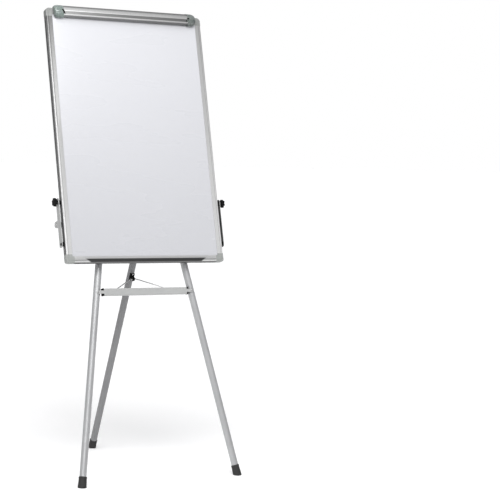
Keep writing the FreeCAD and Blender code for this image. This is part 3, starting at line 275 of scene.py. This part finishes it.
def side_rail_painted_light(name, top_light_scale):
    """Painted light and shade: a painted highlight on the outer bead, a duller inner flat and
    painted shade in the slot along the outer side. Painted shade darkens the rails towards the top
    of the board, by an amount that differs between the two sides."""
    made = anodised(name, UPRIGHT_LINES)
    from_middle = made.half_width()
    low = made.bands(from_middle, [
        (BOARD_HALF_WIDTH - inset, grey) for inset, grey, _ in SIDE_RAIL_FRONT_PAINTED_LIGHT + SIDE_RAIL_EDGE_PAINTED_SHADE])
    high = made.bands(from_middle, [
        (BOARD_HALF_WIDTH - inset, grey * top_light_scale) for inset, _, grey in SIDE_RAIL_FRONT_PAINTED_LIGHT] + [
        (BOARD_HALF_WIDTH - inset, grey) for inset, _, grey in SIDE_RAIL_EDGE_PAINTED_SHADE])
    shade_up_the_board = made.spread(made.board_height(), 0.0, 1.0, SIDE_RAIL_SHADE_FADE_START, BOARD_HEIGHT)
    made.colour(made.times(made.base, made.mix(shade_up_the_board, low, high)))
    return made


def bottom_rail_painted_reflection():
    """Painted reflection and shade: a pale lip above a dark band of painted reflection; towards the
    corners painted highlights turn the flat and the bead pale again, with a dark groove between
    them."""
    made = anodised("bottom_rail_aluminium_painted_reflection", LEVEL_LINES)
    height = made.board_height()
    middle = made.bands(height, BOTTOM_RAIL_MIDDLE_REFLECTION)
    ends = made.bands(height, BOTTOM_RAIL_END_HIGHLIGHTS)
    slant = made.add("ShaderNodeMath", operation="MULTIPLY_ADD")
    made.link(height, slant.inputs[0])
    slant.inputs[1].default_value = END_HIGHLIGHT_SLANT
    made.link(made.half_width(), slant.inputs[2])
    near_end_highlight = made.spread(slant.outputs["Value"], 0.0, 1.0, END_HIGHLIGHT_START, END_HIGHLIGHT_FULL)
    made.colour(made.times(made.base, made.mix(near_end_highlight, middle, ends)))
    return made


def top_rail_painted_light():
    made = anodised("top_rail_aluminium_painted_light", LEVEL_LINES)
    # Painted light: the top rail is brighter towards its top edge.
    made.colour(made.times(made.base, made.bands(made.board_height(), from_top(TOP_RAIL_LIGHT_TONES))))
    return made


def clamp_painted_light():
    """The clamp bar's painted light and shade, from below: dark lip, painted highlight on the
    ridge, grey recess, painted highlight on the brow, dark top edge. Painted shade dulls the bar
    towards its right end."""
    made = anodised("clamp_aluminium_painted_light", LEVEL_LINES, rough=0.26)
    across = made.bands(made.board_height(), from_top(CLAMP_LIGHT_TONES))
    along = made.bands(made.position("X"), CLAMP_SHADE_ALONG)
    made.colour(made.times(made.times(made.base, across), along))
    return made


# ---------------------------------------------------------------- plastic, rubber, steel, core

def moulded(name, dark, light, rough, grain=1400.0, strength=0.35):
    """Injection-moulded plastic with a spark-eroded grain."""
    made = Nodes(name)
    made.colour(made.tones(made.noise(scale=30.0, detail=4.0), dark, light))
    made.roughness(made.noise(scale=120.0, detail=4.0), rough - 0.06, rough + 0.08)
    made.relief(made.noise(scale=grain, detail=3.0), strength, depth=0.00015)
    return made


def black_plastic():
    made = moulded("black_nylon", (0.002, 0.002, 0.0022), (0.006, 0.006, 0.0063), 0.6)
    made.set(Specular_IOR_Level=0.12)
    return made


def corner_plastic(name, dark, light):
    made = moulded(name, dark, light, 0.38)
    made.set(Subsurface_Weight=0.15, Subsurface_Radius=(0.002, 0.002, 0.002))
    return made


def clear_grey_plastic(name, dark, light):
    """Slightly see-through grey-green moulding, as on the clamp's ends."""
    made = moulded(name, dark, light, 0.24, 700.0, 0.2)
    made.set(Transmission_Weight=0.25, IOR=1.49, Coat_Weight=0.5, Coat_Roughness=0.08)
    made.set(Subsurface_Weight=0.2, Subsurface_Radius=(0.003, 0.004, 0.003))
    return made


def rubber():
    """Black rubber with fine pits and a dusty bloom."""
    made = Nodes("foot_rubber")
    dust = made.noise(scale=45.0, detail=6.0, rough=0.7)
    made.colour(made.tones(dust, (0.010, 0.010, 0.010), (0.026, 0.025, 0.024), 0.35, 0.8))
    made.roughness(dust, 0.55, 0.75)
    made.relief(made.noise(scale=1600.0, detail=3.0), strength=0.4, depth=0.0002)
    return made


def bright_steel(name, light):
    """Zinc-plated steel with small crystals and rubbed marks."""
    made = Nodes(name)
    cells = made.add("ShaderNodeTexVoronoi")
    cells.inputs["Scale"].default_value = 700.0
    made.link(made.place, cells.inputs["Vector"])
    dark = (light * 0.82,) * 3
    made.colour(made.tones(cells.outputs["Distance"], dark, (light, light, light * 1.01), 0.1, 0.7))
    made.roughness(made.noise(scale=220.0, detail=5.0), 0.26, 0.42)
    made.relief(made.noise(scale=900.0, detail=3.0), strength=0.12, depth=0.00006)
    made.set(Metallic=1.0)
    return made


def particle_core():
    """Pressed board between the two sheets."""
    made = Nodes("core_board")
    flakes = made.noise(scale=160.0, detail=8.0, rough=0.7)
    made.colour(made.tones(flakes, (0.30, 0.22, 0.14), (0.52, 0.42, 0.29)))
    made.roughness(flakes, 0.75, 0.95)
    made.relief(flakes, strength=0.5, depth=0.0004)
    return made


# ---------------------------------------------------------------- which piece gets which

finishes = {
    "leg": painted("leg_powder_coat", (0.42, 0.425, 0.43), (0.46, 0.465, 0.47),
                   rough=0.42, metallic=0.55),
    # The rear leg is a darker copy of the leg paint: painted shade from the board above it.
    "rear_leg": painted("rear_leg_powder_coat_painted_shade", (0.20, 0.20, 0.205), (0.24, 0.24, 0.245),
                        rough=0.45, metallic=0.1),
    "plate": painted("plate_powder_coat", *PLATE_TONES, rough=0.45, metallic=0.1),
    "shaded_inside_plate": plate_paint_with_shaded_inside(),
    "writing": writing_enamel(),
    # The two side rails get different painted light towards the top.
    "left_rail": side_rail_painted_light("left_rail_aluminium_painted_light", 0.35),
    "right_rail": side_rail_painted_light("right_rail_aluminium_painted_light", 1.6),
    "top_rail": top_rail_painted_light(),
    "bottom_rail": bottom_rail_painted_reflection(),
    "clamp": clamp_painted_light(),
    "black": black_plastic(),
    "corner": corner_plastic("grey_corner_plastic", (0.26, 0.27, 0.26), (0.31, 0.32, 0.31)),
    "top_corner": corner_plastic("dull_corner_plastic", (0.17, 0.175, 0.17), (0.22, 0.225, 0.22)),
    "cap": clear_grey_plastic("smoky_cap_plastic", (0.15, 0.19, 0.175), (0.25, 0.295, 0.275)),
    # The right clamp cap is a darker copy of the left one: painted shade, as on the bar's right
    # end.
    "shaded_cap": clear_grey_plastic("smoky_cap_plastic_painted_shade", (0.07, 0.085, 0.08),
                                   (0.17, 0.19, 0.18)),
    "rubber": rubber(),
    "steel": bright_steel("zinc_plated_steel", 0.62),
    "wire": bright_steel("brace_wire_zinc", 0.55),
    "core": particle_core(),
    "back": painted("back_sheet_paint", (0.40, 0.41, 0.42), (0.45, 0.46, 0.47),
                    rough=0.5, metallic=0.3, grain=500.0),
}

# Pieces that aren't named here are steel.
looks = {
    "leg": ["left_front_leg", "right_front_leg", "cross_tube"],
    "rear_leg": ["rear_leg"],
    "plate": ["crossbar", "rear_hinge_bracket", "brace_clips"],
    "shaded_inside_plate": ["left_side_plate", "right_side_plate"],
    "writing": ["writing_surface"],
    "left_rail": ["left_side_rail"],
    "right_rail": ["right_side_rail"],
    "top_rail": ["top_rail"],
    "bottom_rail": ["bottom_rail"],
    "clamp": ["clamp_bar"],
    "black": ["left_leg_socket", "right_leg_socket", "tube_plugs", "crossbar_plugs",
              "left_upper_spacer", "right_upper_spacer", "left_lower_spacer", "right_lower_spacer",
              "left_slot_block", "right_slot_block", "left_knob", "right_knob", "rear_leg_plug",
              "brace_catch", "guide_screws"],
    "corner": ["bottom_left_corner", "bottom_right_corner"],
    "top_corner": ["top_left_corner", "top_right_corner"],
    "cap": ["left_clamp_cap"],
    "shaded_cap": ["right_clamp_cap"],
    "rubber": ["left_front_foot", "right_front_foot", "rear_foot"],
    "wire": ["brace_wire"],
    "core": ["board_core"],
    "back": ["back_sheet"],
}
look_of = {name: look for look, names in looks.items() for name in names}
for name, piece in nodes.items():
    piece.data.materials.clear()
    piece.data.materials.append(finishes[look_of.get(name, "steel")].material)


# ---------------------------------------------------------------- studio

WHITE = (1.0, 1.0, 1.0)
FLOOR_SIZE = 60.0
FLOOR_GLOW = 0.12
WALL_LIGHT = (0.16, 0.16, 0.165)
CEILING_LIGHT = (0.73, 0.73, 0.74)
CEILING_FROM = 0.75
SUN_FROM = Vector((-0.35, -0.55, 0.80))
SUN_DISTANCE = 4.0
SUN_POWER = 1.75
SUN_SOFTNESS = math.radians(45.0)
SOFTBOX_PLACE = Vector((-0.25, -0.95, 2.15))
SOFTBOX_TARGET = Vector((0.0, 0.12, 1.5))
SOFTBOX_SIZE = (1.0, 0.6)
SOFTBOX_POWER = 14.0


def studio_floor():
    """Pale, faintly glowing floor that runs out of sight."""
    half = FLOOR_SIZE / 2
    mesh = bpy.data.meshes.new("studio_floor")
    corners = [(-half, -half, 0.0), (half, -half, 0.0), (half, half, 0.0), (-half, half, 0.0)]
    mesh.from_pydata(corners, [], [(0, 1, 2, 3)])
    floor = bpy.data.objects.new("studio_floor", mesh)
    bpy.context.scene.collection.objects.link(floor)
    made = Nodes("studio_floor_paint")
    mottle = made.noise(scale=2.0, detail=4.0)
    made.colour(made.tones(mottle, (0.93, 0.93, 0.93), (0.96, 0.96, 0.96)))
    made.roughness(mottle, 0.7, 0.8)
    made.set(Emission_Color=opaque(WHITE), Emission_Strength=FLOOR_GLOW)
    mesh.materials.append(made.material)


def studio_world():
    """White surroundings to look at. The light they give is bright from above and dimmer from
    the sides, as in a studio with a large ceiling softbox and grey walls."""
    world = bpy.data.worlds.new("studio_light")
    world.use_nodes = True
    tree = world.node_tree
    glow = tree.nodes["Background"]
    glow.inputs["Strength"].default_value = 1.0
    direction = tree.nodes.new("ShaderNodeTexCoord")
    parts = tree.nodes.new("ShaderNodeSeparateXYZ")
    tree.links.new(direction.outputs["Generated"], parts.inputs["Vector"])
    ramp = tree.nodes.new("ShaderNodeValToRGB")
    wall, ceiling = ramp.color_ramp.elements
    wall.position, wall.color = 0.0, opaque(WALL_LIGHT)
    ceiling.position, ceiling.color = CEILING_FROM, opaque(CEILING_LIGHT)
    tree.links.new(parts.outputs["Z"], ramp.inputs["Fac"])
    path = tree.nodes.new("ShaderNodeLightPath")
    seen = tree.nodes.new("ShaderNodeMix")
    seen.data_type = "RGBA"
    seen.inputs[MIX_SECOND].default_value = opaque(WHITE)
    tree.links.new(path.outputs["Is Camera Ray"], seen.inputs["Factor"])
    tree.links.new(ramp.outputs["Color"], seen.inputs[MIX_FIRST])
    tree.links.new(seen.outputs[MIX_RESULT], glow.inputs["Color"])
    bpy.context.scene.world = world


def add_lamp(light, place, towards):
    lamp = bpy.data.objects.new(light.name, light)
    lamp.location = place
    lamp.rotation_euler = towards.to_track_quat("-Z", "Y").to_euler()
    bpy.context.scene.collection.objects.link(lamp)
    return lamp


def studio_lights():
    """One wide soft light from the front left, and a softbox near the top of the board."""
    sun = bpy.data.lights.new("wide_softbox", "SUN")
    sun.energy = SUN_POWER
    sun.angle = SUN_SOFTNESS
    add_lamp(sun, SUN_FROM * SUN_DISTANCE, -SUN_FROM)
    softbox = bpy.data.lights.new("board_softbox", "AREA")
    softbox.shape = "RECTANGLE"
    softbox.size, softbox.size_y = SOFTBOX_SIZE
    softbox.energy = SOFTBOX_POWER
    add_lamp(softbox, SOFTBOX_PLACE, SOFTBOX_TARGET - SOFTBOX_PLACE).visible_camera = False


# ---------------------------------------------------------------- camera

# Solved from the photograph. Yaw is to the right of +Y, pitch is down, roll tips the picture.
CAMERA_PLACE = Vector((-2.46961, -5.23869, 1.24551))
CAMERA_YAW = 0.51188
CAMERA_PITCH = 0.08086
CAMERA_ROLL = 0.03873
CAMERA_LENS_MM = 118.85
SENSOR_MM = 36.0


def camera():
    data = bpy.data.cameras.new("studio_camera")
    data.sensor_width = SENSOR_MM
    data.lens = CAMERA_LENS_MM
    data.clip_start = 0.05
    data.clip_end = 200.0
    eye = bpy.data.objects.new("studio_camera", data)
    ahead = Vector((math.sin(CAMERA_YAW) * math.cos(CAMERA_PITCH),
                    math.cos(CAMERA_YAW) * math.cos(CAMERA_PITCH),
                    -math.sin(CAMERA_PITCH)))
    level = Vector((math.cos(CAMERA_YAW), -math.sin(CAMERA_YAW), 0.0))
    upright = level.cross(ahead)
    right = level * math.cos(CAMERA_ROLL) + upright * math.sin(CAMERA_ROLL)
    up = upright * math.cos(CAMERA_ROLL) - level * math.sin(CAMERA_ROLL)
    matrix = Matrix((right, up, -ahead)).transposed().to_4x4()
    matrix.translation = CAMERA_PLACE
    eye.matrix_world = matrix
    bpy.context.scene.collection.objects.link(eye)
    bpy.context.scene.camera = eye


studio_floor()
studio_world()
studio_lights()
camera()
bpy.context.scene.view_settings.view_transform = "Standard"
